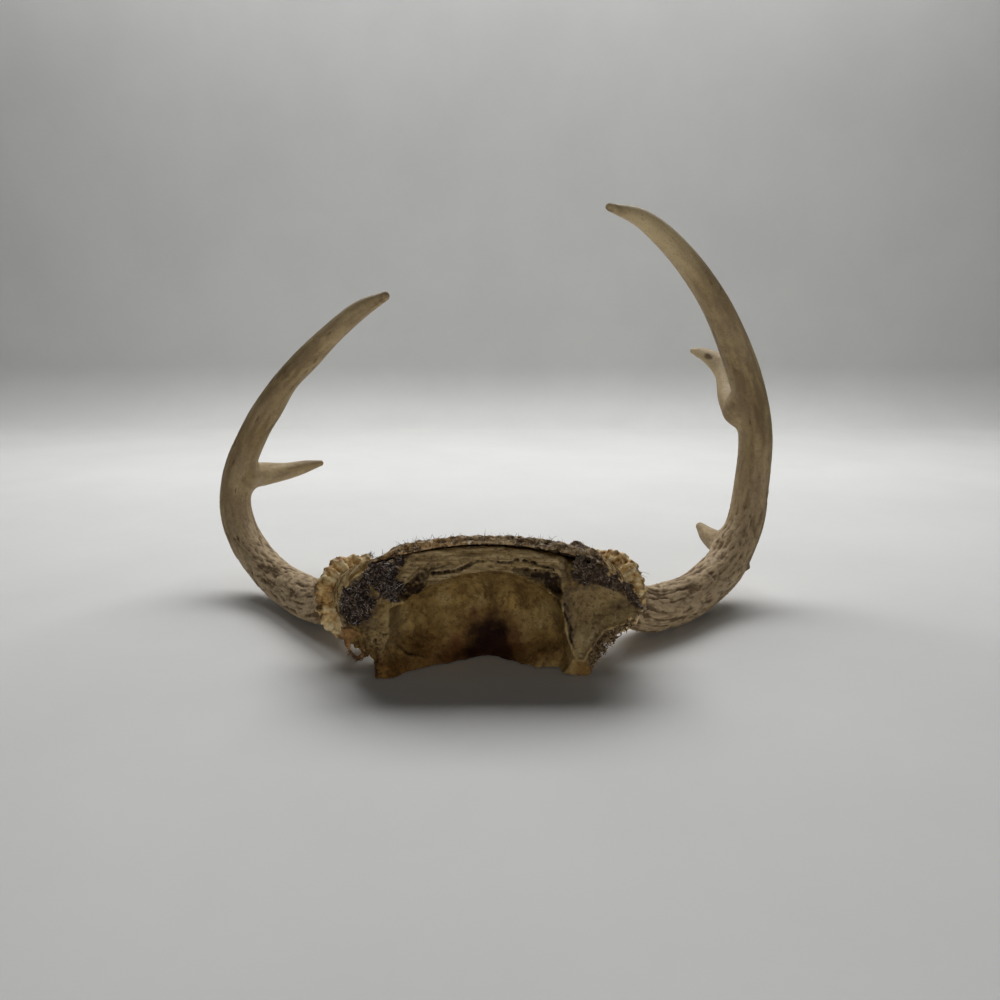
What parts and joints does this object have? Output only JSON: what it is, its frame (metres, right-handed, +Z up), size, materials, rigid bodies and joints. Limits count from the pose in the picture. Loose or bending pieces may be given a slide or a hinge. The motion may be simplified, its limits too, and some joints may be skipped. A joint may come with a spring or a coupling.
{
  "type": "deer antlers on skull plate",
  "caption": "Small deer antlers with curved main beams and short tines on their sawn skull plate, with scraps of dried hide and tissue, standing on the plate's rear saw cut.",
  "frame": {"origin": "on the standing surface, below the middle of the rack's bounding box", "axes": "+Z up, +X to the right across both beams as seen from the hollow, sawn underside, +Y away from that underside, towards the crown and the tines"},
  "size_m": [0.2611, 0.1527, 0.1672],
  "materials": {
    "bone": null,
    "antler": null,
    "hide": "dried raw skin with broken hair",
    "tissue": "dried, fibrous soft tissue, almost black"
  },
  "bodies": {
    "root": {"skull_plate": "bone", "dried_hide": "hide", "left_dried_tissue": "tissue", "right_dried_tissue": "tissue", "left_beam": "antler", "left_tine": "antler", "right_beam": "antler", "right_brow_tine": "antler", "right_tine": "antler"}
  },
  "joints": []
}
